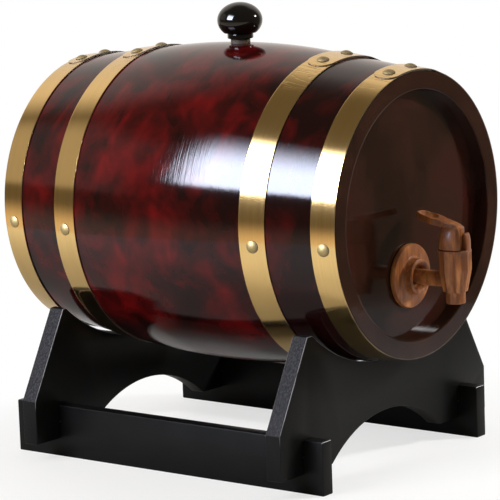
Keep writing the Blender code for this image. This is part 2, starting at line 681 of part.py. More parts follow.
def arch_cutter(name, side):
    length = BOARD_THICKNESS + 2 * OVERRUN
    mesh = cone_mesh(name, ARCH_RADIUS, ARCH_RADIUS, length, 2 * STAVE_COUNT * FACETS_PER_STAVE)
    return add_cutter(name, mesh, STAND, rotation=(-math.pi / 2, 0, 0),
                      location=(0, side * BOARD_CENTRE - length / 2, ARCH_TOP - ARCH_RADIUS))


def notch_cutter(name, x_middle, y_middle, x_size, y_size, low_z, high_z):
    low = (x_middle - x_size / 2, y_middle - y_size / 2, low_z)
    high = (x_middle + x_size / 2, y_middle + y_size / 2, high_z)
    return add_cutter(name, box_mesh(name, low, high), STAND)


def make_stand():
    """Two upright boards halved onto two rails that stand on edge."""
    rail_middle = RAIL_OUTER - RAIL_THICKNESS / 2
    boards = {}
    for end, side in (("front", -1), ("rear", 1)):
        name = f"stand_{end}_board"
        board = add_object(name, outline_mesh(name, board_outline(), BOARD_THICKNESS), STAND, STAND_BLACK,
                           location=(0, side * BOARD_CENTRE, 0))
        cut(board, saddle_cutter(f"{end}_saddle", side))
        cut(board, arch_cutter(f"{end}_arch", side))
        boards[side] = board
    for hand, x_side in (("left", -1), ("right", 1)):
        x = x_side * rail_middle
        low = (x - RAIL_THICKNESS / 2, RAIL_FRONT, 0)
        high = (x + RAIL_THICKNESS / 2, RAIL_REAR, RAIL_HEIGHT)
        name = f"stand_{hand}_rail"
        rail = add_object(name, box_mesh(name, low, high), STAND, STAND_BLACK)
        for end, side in (("front", -1), ("rear", 1)):
            y = side * BOARD_CENTRE
            cut(boards[side], notch_cutter(f"{end}_{hand}_board_notch", x, y, RAIL_THICKNESS + 2 * FIT_GAP,
                                           BOARD_THICKNESS + 2 * OVERRUN, FOOT_HEIGHT - OVERRUN,
                                           LAP_HEIGHT + FIT_GAP / 2))
            cut(rail, notch_cutter(f"{end}_{hand}_rail_notch", x, y, RAIL_THICKNESS + 2 * OVERRUN,
                                   BOARD_THICKNESS + 2 * FIT_GAP, LAP_HEIGHT - FIT_GAP / 2,
                                   RAIL_HEIGHT + OVERRUN))


def main():
    rivet_holes = make_rivet_holes()
    make_staves(rivet_holes)
    make_heads()
    for hoop, (outer, inner) in HOOPS.items():
        make_hoop(f"{hoop}_hoop", outer, inner, rivet_holes)
    make_rivets()
    make_stopper()
    make_tap_body()
    make_rosette()
    make_key()
    make_stand()


main()
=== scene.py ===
"""Looks of a small oak cask for liquor on a black stand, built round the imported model.

Lengths are metres and Z is up. The cask's axis runs along Y, with the tap at the -Y end.
"""

import math

import bmesh
import bpy
from bpy.props import FloatProperty, FloatVectorProperty, PointerProperty
from bpy.types import Operator, Panel, PropertyGroup
from mathutils import Matrix, Vector


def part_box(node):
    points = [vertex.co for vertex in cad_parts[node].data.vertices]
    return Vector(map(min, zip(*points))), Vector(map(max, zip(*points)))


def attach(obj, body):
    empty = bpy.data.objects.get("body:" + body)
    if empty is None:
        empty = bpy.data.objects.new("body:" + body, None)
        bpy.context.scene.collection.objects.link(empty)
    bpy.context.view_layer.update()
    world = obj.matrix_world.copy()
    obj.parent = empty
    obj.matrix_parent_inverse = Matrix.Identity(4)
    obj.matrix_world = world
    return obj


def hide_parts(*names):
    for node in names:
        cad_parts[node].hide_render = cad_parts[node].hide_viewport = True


bl_info = {
    "name": "Oak Cask Dispenser",
    "version": (1, 0, 0),
    "blender": (4, 5, 0),
    "location": "3D View > Sidebar > Cask",
    "description": "Builds the lacquered cask, its brass, tap and stand, and the studio round them",
    "category": "Add Mesh",
}

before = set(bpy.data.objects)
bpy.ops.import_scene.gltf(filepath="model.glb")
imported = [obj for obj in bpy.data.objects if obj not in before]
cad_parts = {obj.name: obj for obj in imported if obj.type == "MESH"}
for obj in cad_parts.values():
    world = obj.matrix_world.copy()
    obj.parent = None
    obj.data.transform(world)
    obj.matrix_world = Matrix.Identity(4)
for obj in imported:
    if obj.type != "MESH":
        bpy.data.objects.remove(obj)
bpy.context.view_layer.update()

# Cask
HALF_LENGTH = 0.1364
BILGE_RADIUS = 0.1063
END_RADIUS = 0.0925
BEND_HALF_LENGTH = 0.060
STAVE_THICKNESS = 0.0115
RECESS_DEPTH = 0.010
RECESS_RADIUS = 0.0808
CROZE_DEPTH = 0.003
HEAD_THICKNESS = 0.008
SEAM_GAP = 0.0001
BUNG_HOLE_RADIUS = 0.0068
TAPER = (BILGE_RADIUS - END_RADIUS) / (HALF_LENGTH - BEND_HALF_LENGTH / 2)
TAPER_ANGLE = math.atan(TAPER)

# Hoops and rivets
HOOPS = {"front": (-0.1362, -0.1192), "front_bilge": (-0.0867, -0.0682),
         "rear_bilge": (0.0867, 0.0682), "rear": (0.1362, 0.1192)}
HOOP_FACE = 0.0008
HOOP_THICKNESS = 0.0006
LAP_RISE = 0.00065
LAP_START_DEG = -11.25
LAP_RAMP_DEG = 7.5
LAP_END_DEG = 16.5
RIVETS = {"lap_near": (10.5, LAP_RISE), "lap_far": (-4.5, LAP_RISE), "left": (95.3, 0.0),
          "right": (-95.3, 0.0)}
RIVET_RADIUS = 0.0041
RIVET_HEIGHT = 0.0019
SHANK_RADIUS = 0.0013
SHANK_LENGTH = 0.0075

# Tap, whose heights are above the axis of its neck
NECK_DROP = 0.0402
NECK_LENGTH = 0.0364
BARREL_TOP = 0.0201
BARREL_RADIUS = 0.0108
BARREL_FOOT = -0.0074
BARREL_FOOT_RADIUS = 0.0079
SPOUT_RADIUS = 0.0063
SPOUT_BOTTOM = -0.0149
NECK_RADIUS = 0.0051
TAIL_RADIUS = 0.0074
HUB_LENGTH = 0.0100
HUB_RADIUS = 0.0118
ROSETTE_RADIUS = 0.0210
BORE_RADIUS = 0.0023
FLUTE_DEPTH = 0.17
RIDGE_DEG = 7.5
SEAT_RADIUS = 0.0053
PLUG_RADIUS = 0.0050
PLUG_TIP_RADIUS = 0.0040
DOME_RADIUS = 0.0103
DOME_TOP = 0.0345
LIP_TOP = 0.0306
LIP_DEG = (-99.0, -51.0)
CLEARING_DEG = (-125.0, 45.0)
CORE_RADIUS = 0.0063
LEVER_BACK = -0.0050
LEVER_TIP = 0.0272
LEVER_HEIGHT = 0.0352
LEVER_SLOPE_DEG = 13.8

# Stand
BOARD_CENTRE = 0.10125
BOARD_THICKNESS = 0.0115
BOARD_HALF_WIDTH = 0.1178
TIP_HALF_WIDTH = 0.0855
TIP_HEIGHT = 0.0995
KNEE_HEIGHT = 0.0418
FOOT_HEIGHT = 0.0123
SADDLE_RADIUS = 0.1235
ARCH_RADIUS = 0.095
ARCH_TOP = 0.0356
RAIL_OUTER = 0.0941
RAIL_THICKNESS = 0.0102
RAIL_HEIGHT = 0.035
RAIL_ENDS = (-0.1222, 0.1328)
LAP_HEIGHT = 0.02365
FIT_GAP = 0.0003

# How far a cutting shape reaches past its cut, and the lengths below which points and edges are scraps
OVERRUN = 0.004
SLIVER = 0.000005
WELD = 0.000001


def at(x, y, z):
    return Matrix.Translation((x, y, z))


def middle_of(node, axis):
    """Middle of a node's box along an axis."""
    low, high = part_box(node)
    return (low[axis] + high[axis]) / 2


# Places in the frame
CASK_Y = (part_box("front_hoop")[0][1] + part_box("rear_hoop")[1][1]) / 2
AXIS_Z = middle_of("front_head_centre_board", 2)
ALONG_Y = Matrix.Rotation(-math.pi / 2, 4, "X")
CASK_PLACE = at(0, CASK_Y, AXIS_Z)
BUNG_PLACE = at(0, middle_of("stopper_knob", 1), AXIS_Z + BILGE_RADIUS)
TAP_PLACE = at(0, CASK_Y - HALF_LENGTH + RECESS_DEPTH - NECK_LENGTH, AXIS_Z - NECK_DROP)


def cask_radius(y):
    """Outer radius at a distance y from the middle: an arc that runs into straight ends."""
    distance = abs(y)
    if distance <= BEND_HALF_LENGTH:
        return BILGE_RADIUS - TAPER * distance ** 2 / (2 * BEND_HALF_LENGTH)
    return BILGE_RADIUS - TAPER * (distance - BEND_HALF_LENGTH / 2)


# Settings

def in_colour(name, description, default):
    return FloatVectorProperty(name=name, description=description, subtype="COLOR", default=default,
                               min=0, max=1)


def in_metres(name, description, default, **limits):
    return FloatProperty(name=name, description=description, unit="LENGTH", default=default, **limits)


def in_degrees(name, description, degrees):
    return FloatProperty(name=name, description=description, subtype="ANGLE", default=math.radians(degrees))


def in_watts(name, description, default):
    return FloatProperty(name=name, description=description, default=default, min=0)


class CaskFinish(PropertyGroup):
    """Colours of the cask and its fittings"""
    lacquer_dark: in_colour("Dark lacquer", "Lacquer between the figure's flames", (0.0105, 0.0019, 0.0018))
    lacquer_red: in_colour("Red lacquer", "Lacquer in the figure's flames", (0.155, 0.0040, 0.0050))
    head_brown: in_colour("Head brown", "Stain of the heads and the chime", (0.050, 0.0180, 0.0105))
    brass: in_colour("Brass", "Hoops and rivets", (0.76, 0.515, 0.205))
    tap_wood: in_colour("Tap wood", "Oiled wood of the tap", (0.225, 0.072, 0.0195))
    stand_black: in_colour("Stand black", "Stain of the stand", (0.0045, 0.0044, 0.0043))
    knob_black: in_colour("Knob black", "The stopper's knob", (0.004, 0.0035, 0.0032))
    cork: in_colour("Cork", "The stopper's cork", (0.105, 0.073, 0.045))


class CaskShapes(PropertyGroup):
    """Roundness of the pieces"""
    hoop_edge: in_metres("Hoop edge", "Rounding of the straps' edges", 0.00007, min=0.00005, max=0.0006)
    wood_edge: in_metres("Stand edge", "Rounding of the stand's arrises", 0.0008, min=0.0001, max=0.002)
    carving: in_metres("Carving", "Grid of the tap's carved shapes", 0.00035, min=0.0002, max=0.001)


class CaskStudio(PropertyGroup):
    """Camera and light"""
    azimuth: in_degrees("Azimuth", "Camera's turn round the cask", -52.464)
    elevation: in_degrees("Elevation", "Camera's rise", 9.919)
    roll: in_degrees("Roll", "Camera's tilt", -2.080)
    distance: in_metres("Distance", "From the cask's middle to the camera", 1.9459, min=0.5)
    lens: FloatProperty(name="Lens", description="Focal length in millimetres", default=209.36, min=10)
    rise: in_metres("Rise", "Shift of the camera along its own up", -0.0328)
    key_light: in_watts("Key light", "Power of the soft box, in watts", 9.0)
    fill_light: in_watts("Fill light", "Power of the soft overhead panel, in watts", 8.0)
    front_light: in_watts("Front lamp", "Power of the small lamp at the front, in watts", 18.0)
    floor_radius: in_metres("Floor", "Radius of the floor", 0.62, min=0.3)


# Shader maths

class Value:
    """A node's output that takes part in sums and products."""

    def __init__(self, finish, socket):
        self.finish = finish
        self.socket = socket

    def math(self, operation, *others, swapped=False):
        values = [self, *others]
        if swapped:
            values.reverse()
        return self.finish.node("ShaderNodeMath", {"operation": operation}, dict(enumerate(values)))

    def __add__(self, other):
        return self.math("ADD", other)

    def __sub__(self, other):
        return self.math("SUBTRACT", other)

    def __rsub__(self, other):
        return self.math("SUBTRACT", other, swapped=True)

    def __mul__(self, other):
        return self.math("MULTIPLY", other)

    def __truediv__(self, other):
        return self.math("DIVIDE", other)

    def __abs__(self):
        return self.math("ABSOLUTE")

    def higher(self, other):
        return self.math("MAXIMUM", other)

    def ease(self, low, high):
        """0 below the low value and 1 above the high one, with a soft step between."""
        return self.finish.node("ShaderNodeMapRange", {"interpolation_type": "SMOOTHSTEP"},
                                {"Value": self, "From Min": low, "From Max": high})

    __radd__ = __add__
    __rmul__ = __mul__


class Finish:
    """The node tree of a material, lamp or world under construction."""

    def __init__(self, owner):
        owner.use_nodes = True
        self.owner = owner
        self.tree = owner.node_tree
        self.tree.nodes.clear()

    def node(self, kind, settings=None, sockets=None, output=0):
        """Add a node with its settings, then the values or links of its sockets, and give its output."""
        node = self.tree.nodes.new(kind)
        for key, value in (settings or {}).items():
            if key == "stops":
                self.set_stops(node.color_ramp, value)
            else:
                setattr(node, key, value)
        for key, value in (sockets or {}).items():
            if isinstance(value, Value):
                self.tree.links.new(value.socket, node.inputs[key])
            else:
                node.inputs[key].default_value = value
        return Value(self, node.outputs[output]) if len(node.outputs) else node

    @staticmethod
    def set_stops(ramp, stops):
        while len(ramp.elements) < len(stops):
            ramp.elements.new(0.5)
        for element, (place, colour) in zip(ramp.elements, stops):
            element.position = place
            element.color = (*colour, 1)

    def place(self, scale=(1, 1, 1), turn=(0, 0, 0), middle=(0, 0, 0)):
        """Object coordinates, moved, turned and stretched."""
        coordinates = self.node("ShaderNodeTexCoord", output="Object")
        return self.node("ShaderNodeMapping", None, {"Vector": coordinates, "Location": middle,
                                                     "Rotation": turn, "Scale": scale})

    def axes(self, vector):
        """The three parts of a vector."""
        return [self.node("ShaderNodeSeparateXYZ", None, {"Vector": vector}, output=i) for i in range(3)]

    def length(self, vector):
        return self.node("ShaderNodeVectorMath", {"operation": "LENGTH"}, {0: vector}, output="Value")

    def ray(self, kind):
        """Whether the light path is of a kind, such as Camera."""
        return self.node("ShaderNodeLightPath", output=f"Is {kind} Ray")

    def noise(self, place, detail=3.0, roughness=0.5, distortion=0.0):
        return self.node("ShaderNodeTexNoise", None, {"Vector": place, "Scale": 1.0, "Detail": detail,
                                                      "Roughness": roughness, "Distortion": distortion})

    def ramp(self, factor, stops):
        return self.node("ShaderNodeValToRGB", {"stops": stops}, {"Fac": factor})

    def mix(self, factor, first, second):
        first = first if isinstance(first, Value) else (*first, 1)
        second = second if isinstance(second, Value) else (*second, 1)
        return self.node("ShaderNodeMix", {"data_type": "RGBA"}, {0: factor, 6: first, 7: second}, output=2)

    def bump(self, height, distance, strength=1.0):
        return self.node("ShaderNodeBump", None,
                         {"Height": height, "Distance": distance, "Strength": strength})

    def close(self, shader, kind="Material"):
        """Link the last shader to the output and give the tree's owner."""
        self.node(f"ShaderNodeOutput{kind}", None, {"Surface": shader})
        return self.owner

    def surface(self, sockets):
        return self.close(self.node("ShaderNodeBsdfPrincipled", None, sockets))


def new_finish(name):
    return Finish(bpy.data.materials.new(name))


def tint(colour, level):
    return tuple(min(channel * level, 1) for channel in colour)


def blend_colours(first, second, share):
    return tuple(a + (b - a) * share for a, b in zip(first, second))


# Finishes

def lacquered_staves(look):
    """Glossy cherry lacquer over wood whose figure flames round the cask; the chimes are stained brown."""
    f = new_finish("cherry_lacquer")
    cloud = f.noise(f.place((25, 30, 25)), detail=2, roughness=0.5, distortion=1.0)
    flame = f.noise(f.place((52, 62, 52)), detail=3, roughness=0.5, distortion=0.6)
    fleck = f.noise(f.place((120, 70, 120)), detail=2, roughness=0.5)
    _, along, height = f.axes(f.place(middle=(0, -CASK_Y, -AXIS_Z)))
    # The figure darkens towards the front end; towards the underside the darkening is painted shade, where
    # less light falls
    front = 1.0 - along.ease(-0.100, -0.045)
    lower = 1.0 - height.ease(-0.095, -0.030)
    figure = cloud * 0.60 + flame * 0.28 + fleck * 0.12 - front * 0.11 - lower * 0.07
    dark, red, brown = look.lacquer_dark, look.lacquer_red, look.head_brown
    flames = f.ramp(figure, [(0.38, dark), (0.49, blend_colours(dark, red, 0.20)),
                             (0.60, blend_colours(dark, red, 0.58)), (0.70, red)])
    end = abs(along).ease(HALF_LENGTH - 0.0005, HALF_LENGTH - 0.0001)
    radius = f.length(f.place((1, 0, 1), middle=(0, 0, -AXIS_Z)))
    inside = 1.0 - radius.ease(RECESS_RADIUS + 0.0010, RECESS_RADIUS + 0.0014)
    stain = f.ramp(cloud, [(0.35, tint(brown, 0.33)), (0.65, tint(brown, 0.55))])
    colour = f.mix(end.higher(inside), flames, stain)
    rings = f.noise(f.place((22, 1100, 22)), detail=2, roughness=0.6)
    ripple = f.noise(f.place((150, 420, 150)), detail=3)
    relief = rings * 0.55 + ripple * 0.45
    return f.surface({"Base Color": colour, "Roughness": 0.055 + rings * 0.05, "IOR": 1.36,
                      "Normal": f.bump(relief, 0.00022, 0.36)})


def stained_head(look):
    """Dark brown stain with faint red clouds under a satin lacquer."""
    f = new_finish("head_stain")
    brown = look.head_brown
    cloud = f.noise(f.place((20, 20, 14)), detail=3, roughness=0.5, distortion=0.4)
    grain = f.noise(f.place((330, 330, 24)), detail=4, roughness=0.6)
    base = f.ramp(cloud, [(0.36, tint(brown, 0.25)), (0.52, tint(brown, 0.55)),
                          (0.68, (0.036, 0.0085, 0.0062))])
    colour = f.mix(grain * 0.35, base, tint(brown, 0.3))
    return f.surface({"Base Color": colour, "Roughness": 0.07 + grain * 0.08, "IOR": 1.38,
                      "Normal": f.bump(grain, 0.00002, 0.3)})


def brushed_brass(look, name, lines, roughness, dull_edge_and_shade, tone=(1, 1, 1)):
    """Polished brass with fine lines and, near the lap, faint creases; walls and rims that turn from the
    cask's radius are dull and grey, as worn edges with painted shade.
    """
    f = new_finish(name)
    brass = tuple(channel * level for channel, level in zip(look.brass, tone))
    streak = f.noise(f.place(lines), detail=4, roughness=0.7)
    patch = f.noise(f.place((30, 30, 30)), detail=2)
    crease = f.noise(f.place((330, 45, 45), turn=(0, 0, 0.30)), detail=1, distortion=0.3)
    height = f.axes(f.place())[2]
    fold = (1.0 - abs(crease - 0.5).ease(0.0, 0.045)) * height.ease(AXIS_Z + 0.082, AXIS_Z + 0.090)
    colour = f.ramp(streak * 0.6 + patch * 0.4, [(0.35, tint(brass, 0.9)), (0.65, tint(brass, 1.06))])
    spoke = f.node("ShaderNodeVectorMath", {"operation": "NORMALIZE"},
                   {0: f.place((1, 0, 1), middle=(0, 0, -AXIS_Z))})
    facing = f.node("ShaderNodeVectorMath", {"operation": "DOT_PRODUCT"},
                    {0: f.node("ShaderNodeNewGeometry", output="Normal"), 1: spoke}, output="Value")
    # Strap walls and rivet rims, which face away from the radius, turn dull grey: worn unpolished edges with
    # painted shade along them
    edge = (1.0 - facing.ease(0.6, 0.9)) * dull_edge_and_shade
    colour = f.mix(edge, colour, (0.21, 0.18, 0.145))
    return f.surface({"Base Color": colour, "Metallic": 1.0,
                      "Roughness": roughness + streak * 0.12 + edge * 0.5,
                      "Normal": f.bump(streak * 0.12 - fold, 0.00012, 0.5)})


def oiled_wood(look):
    """Reddish brown turned wood with its grain upright."""
    f = new_finish("tap_wood_oiled")
    wood = look.tap_wood
    warp = f.noise(f.place((75, 75, 40)), detail=2)
    grain = f.noise(f.place((300, 300, 45)), detail=4, roughness=0.55, distortion=0.8)
    pores = f.noise(f.place((1500, 1500, 90)), detail=2, roughness=0.5).ease(0.62, 0.76)
    figure = grain * 0.55 + warp * 0.45
    base = f.ramp(figure, [(0.34, tint(wood, 0.5)), (0.5, wood), (0.66, (0.46, 0.18, 0.050))])
    colour = f.mix(pores * 0.4, base, tint(wood, 0.3))
    return f.surface({"Base Color": colour, "Roughness": 0.38 + grain * 0.2, "IOR": 1.40, "Coat Weight": 0.10,
                      "Coat Roughness": 0.12, "Normal": f.bump(grain - pores * 0.6, 0.00012, 0.6)})


def black_stain(look):
    """Satin black stain; the upward sloping faces are scuffed grey with painted sheen, and their arrises
    carry a bright painted highlight broken into chips.
    """
    f = new_finish("stand_stain")
    black = look.stand_black
    _, across, up = f.axes(f.node("ShaderNodeNewGeometry", output="Normal"))
    # Faces tilted up towards the lamps get grey scuffs mixed with painted sheen; the rounded arrises get a
    # painted highlight
    slope = up.ease(0.30, 0.42) * (1.0 - up.ease(0.62, 0.75)) * (1.0 - abs(across).ease(0.2, 0.6))
    arris = abs(across).ease(0.25, 0.5) * (1.0 - abs(across).ease(0.86, 0.97)) * up.ease(0.10, 0.25)
    cloud = f.noise(f.place((40, 40, 40)), detail=4, roughness=0.6)
    scuff = f.noise(f.place((620, 900, 620)), detail=5, roughness=0.8).ease(0.42, 0.68)
    chip = f.noise(f.place((110, 110, 110)), detail=3).ease(0.22, 0.46)
    scuffs_and_painted_sheen = slope * (0.05 + scuff * 0.95)
    base = f.ramp(cloud, [(0.3, tint(black, 0.8)), (0.7, tint(black, 1.3))])
    # Grey of the scuffs and painted sheen on the slopes; pale grey of the painted highlight on the arrises
    colour = f.mix(arris * chip, f.mix(scuffs_and_painted_sheen, base, (0.060, 0.058, 0.068)), (0.48, 0.47, 0.51))
    return f.surface({"Base Color": colour, "Roughness": 0.34 + cloud * 0.1 + slope * 0.36, "IOR": 1.28,
                      "Normal": f.bump(cloud * 0.3 + scuff * slope * 0.7, 0.00012, 0.5)})


def gloss_black(look):
    """Polished black of the knob."""
    f = new_finish("knob_gloss")
    black = look.knob_black
    haze = f.noise(f.place((120, 120, 120)), detail=3)
    colour = f.ramp(haze, [(0.3, tint(black, 0.8)), (0.7, tint(black, 1.3))])
    return f.surface({"Base Color": colour, "Roughness": 0.04 + haze * 0.06, "IOR": 1.45})


def natural_cork(look):
    """Dark cork with grains and pits."""
    f = new_finish("cork")
    cork = look.cork
    grains = f.noise(f.place((700, 700, 700)), detail=4, roughness=0.6)
    pits = f.noise(f.place((420, 420, 420)), detail=2).ease(0.60, 0.70)
    base = f.ramp(grains, [(0.35, tint(cork, 0.7)), (0.65, tint(cork, 1.2))])
    colour = f.mix(pits, base, tint(cork, 0.25))
    return f.surface({"Base Color": colour, "Roughness": 0.8 + grains * 0.1,
                      "Normal": f.bump(grains - pits, 0.0002, 0.6)})


def bare_wood():
    """Pale unfinished wood, for the dowels inside the heads."""
    f = new_finish("dowel_wood_bare")
    grain = f.noise(f.place((30, 500, 500)), detail=4, roughness=0.6)
    colour = f.ramp(grain, [(0.35, (0.36, 0.24, 0.12)), (0.65, (0.58, 0.42, 0.24))])
    return f.surface({"Base Color": colour, "Roughness": 0.62 + grain * 0.12,
                      "Normal": f.bump(grain, 0.0001, 0.4)})


# Shapes

def revolve(profile, steps, closed=False, sector=(0, 360)):
    """Turn a profile of (radius, height) round Z, from one angle to another, in degrees."""
    shape = bmesh.new()
    turn = Matrix.Rotation(math.radians(sector[0]), 3, "Z")
    verts = [shape.verts.new(turn @ Vector((radius, 0, height))) for radius, height in profile]
    for first, second in zip(verts, verts[1:] + (verts[:1] if closed else [])):
        shape.edges.new((first, second)) if first is not second else None
    degrees = sector[1] - sector[0]
    full = degrees == 360
    if not full:
        shape.faces.new(verts)
    bmesh.ops.spin(shape, geom=shape.verts[:] + shape.edges[:] + shape.faces[:], cent=(0, 0, 0),
                   axis=(0, 0, 1), angle=math.radians(degrees), steps=steps, use_merge=full)
    bmesh.ops.remove_doubles(shape, verts=shape.verts[:], dist=WELD)
    bmesh.ops.recalc_face_normals(shape, faces=shape.faces[:])
    return shape


def drum(radius, length, steps=64, upper_radius=None):
    """A cylinder or cone along Z, from 0 to its length."""
    shape = bmesh.new()
    bmesh.ops.create_cone(shape, cap_ends=True, segments=steps, radius1=radius,
                          radius2=radius if upper_radius is None else upper_radius, depth=length,
                          matrix=at(0, 0, length / 2))
    return shape


def block(low, high):
    """A box between two corners."""
    size = Vector(high) - Vector(low)
    middle = (Vector(high) + Vector(low)) / 2
    shape = bmesh.new()
    bmesh.ops.create_cube(shape, size=1.0, matrix=Matrix.Translation(middle) @ Matrix.Diagonal((*size, 1)))
    return shape


def extruded(shape, shift):
    """Draw a flat shape out into a plate."""
    grown = bmesh.ops.extrude_face_region(shape, geom=shape.faces[:])
    lifted = [item for item in grown["geom"] if isinstance(item, bmesh.types.BMVert)]
    bmesh.ops.translate(shape, verts=lifted, vec=shift)
    bmesh.ops.recalc_face_normals(shape, faces=shape.faces[:])
    return shape


def moved(shape, matrix):
    shape.transform(matrix)
    return shape


def linked(name, data):
    """A new object in the scene."""
    item = bpy.data.objects.new(name, data)
    bpy.context.scene.collection.objects.link(item)
    return item


def as_object(shape, name):
    mesh = bpy.data.meshes.new(name)
    shape.to_mesh(mesh)
    shape.free()
    return linked(name, mesh)


def evaluated(carrier, *helpers):
    """The shape of an object with its modifiers applied; the object and its helpers are removed."""
    graph = bpy.context.evaluated_depsgraph_get()
    mesh = bpy.data.meshes.new_from_object(carrier.evaluated_get(graph))
    shape = bmesh.new()
    shape.from_mesh(mesh)
    bpy.data.meshes.remove(mesh)
    for old in (carrier, *helpers):
        data = old.data
        bpy.data.objects.remove(old, do_unlink=True)
        bpy.data.meshes.remove(data)
    return shape


def combine(shape, tool, operation="DIFFERENCE"):
    """Cut a tool's shape from another, or add it."""
    carrier, helper = as_object(shape, "work"), as_object(tool, "tool")
    modifier = carrier.modifiers.new("combine", "BOOLEAN")
    modifier.operation = operation
    modifier.solver = "EXACT"
    modifier.object = helper
    result = evaluated(carrier, helper)
    bmesh.ops.remove_doubles(result, verts=result.verts[:], dist=SLIVER)
    bmesh.ops.dissolve_degenerate(result, dist=SLIVER, edges=result.edges[:])
    return result


def softened(shape, grid, passes):
    """Carve the shape anew on a fine grid, so that its joints run into each other, and rub it smooth."""
    carrier = as_object(shape, "carving")
    modifier = carrier.modifiers.new("carve", "REMESH")
    modifier.mode = "VOXEL"
    modifier.voxel_size = grid
    result = evaluated(carrier)
    for _ in range(passes):
        bmesh.ops.smooth_vert(result, verts=result.verts[:], factor=0.5, use_axis_x=True, use_axis_y=True,
                              use_axis_z=True)
    return result


def round_edges(shape, offset, segments=2, sharp_deg=35.0):
    """Round every edge that turns by more than an angle."""
    shape.normal_update()
    limit = math.radians(sharp_deg)
    edges = [edge for edge in shape.edges if len(edge.link_faces) == 2 and edge.calc_face_angle(0) > limit]
    bmesh.ops.bevel(shape, geom=edges, offset=offset, segments=segments, affect="EDGES", profile=0.5,
                    material=-1, clamp_overlap=True)
    bmesh.ops.dissolve_degenerate(shape, dist=SLIVER, edges=shape.edges[:])
    return shape


def add_piece(name, shape, body, material, nodes, sharp_deg=40.0):
    """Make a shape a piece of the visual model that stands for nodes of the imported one."""
    piece = as_object(shape, name)
    piece.data.shade_smooth()
    piece.data.set_sharp_from_angle(angle=math.radians(sharp_deg))
    piece.data.materials.append(material)
    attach(piece, body)
    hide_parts(*nodes)
    return piece


# Pieces

def staves_shape():
    """The whole ring of staves as one turned shell, with its chimes, recesses and croze grooves."""
    bend_steps, straight_steps = 28, 8
    chime_radius, support = 0.0007, 0.0004
    head_face = HALF_LENGTH - RECESS_DEPTH
    head_back = head_face - HEAD_THICKNESS
    bend = [-BEND_HALF_LENGTH + 2 * BEND_HALF_LENGTH * i / bend_steps for i in range(bend_steps + 1)]
    straight = [HALF_LENGTH - (HALF_LENGTH - BEND_HALF_LENGTH) * i / straight_steps
                for i in range(straight_steps)]
    along = [-y for y in straight] + bend + straight[::-1]
    outside = [(cask_radius(y), y) for y in along]
    groove = RECESS_RADIUS + CROZE_DEPTH
    chime = [(cask_radius(HALF_LENGTH) - support, HALF_LENGTH),
             (RECESS_RADIUS + chime_radius + support, HALF_LENGTH),
             (RECESS_RADIUS + chime_radius, HALF_LENGTH),
             (RECESS_RADIUS + chime_radius * 0.3, HALF_LENGTH - chime_radius * 0.3),
             (RECESS_RADIUS, HALF_LENGTH - chime_radius),
             (RECESS_RADIUS, HALF_LENGTH - chime_radius - support),
             (RECESS_RADIUS, head_face + SEAM_GAP), (groove, head_face + SEAM_GAP),
             (groove, head_back - SEAM_GAP),
             (cask_radius(head_back) - STAVE_THICKNESS, head_back - SEAM_GAP)]
    inside = [(cask_radius(y) - STAVE_THICKNESS, y) for y in bend[::-1]]
    profile = outside + chime + inside + [(radius, -y) for radius, y in chime[::-1]]
    shape = moved(revolve(profile, 192, closed=True), CASK_PLACE @ ALONG_Y)
    bore = moved(drum(BUNG_HOLE_RADIUS, STAVE_THICKNESS * 2, 48),
                 BUNG_PLACE @ at(0, 0, -STAVE_THICKNESS * 1.5))
    return combine(shape, bore)


def head_shape(side):
    """The head's boards as one disc in the croze groove, since the lacquer hides their joints."""
    radius, edge, rings = RECESS_RADIUS + CROZE_DEPTH - SEAM_GAP, 0.0006, 6
    radii = [radius * i / rings for i in range(rings)]
    profile = [(r, HEAD_THICKNESS) for r in radii]
    profile += [(radius - edge, HEAD_THICKNESS), (radius, HEAD_THICKNESS - edge), (radius, edge),
                (radius - edge, 0)]
    profile += [(r, 0) for r in reversed(radii)]
    outer = HALF_LENGTH - RECESS_DEPTH
    lower_face = -outer if side < 0 else outer - HEAD_THICKNESS
    disc = moved(revolve(profile, 192), at(0, CASK_Y + lower_face, AXIS_Z) @ ALONG_Y)
    if side < 0:
        bore = moved(drum(TAIL_RADIUS + SEAM_GAP, HEAD_THICKNESS * 3), TAP_PLACE
                     @ at(0, NECK_LENGTH - HEAD_THICKNESS, 0) @ ALONG_Y)
        disc = combine(disc, bore)
    return disc


def strap_stations(half_width):
    """Angles along a strap, each with its rise and its share of the full width; it ends in a round tip."""
    step, tip_steps, least_share = 2.5, 9, 0.06
    tip = math.degrees(half_width / END_RADIUS)
    end = LAP_END_DEG + 360
    angles = [LAP_START_DEG + i * step for i in range(int((end - tip - LAP_START_DEG) / step) + 1)]
    angles += [end - tip * math.cos(math.pi / 2 * i / tip_steps) for i in range(tip_steps + 1)]
    stations = []
    for angle in angles:
        ramp = min(max((angle - 360 - LAP_START_DEG + LAP_RAMP_DEG) / LAP_RAMP_DEG, 0), 1)
        into_tip = max(0, (angle - (end - tip)) / tip)
        share = max(math.sqrt(max(0, 1 - into_tip ** 2)), least_share)
        stations.append((angle, LAP_RISE * ramp * ramp * (3 - 2 * ramp), share))
    return stations


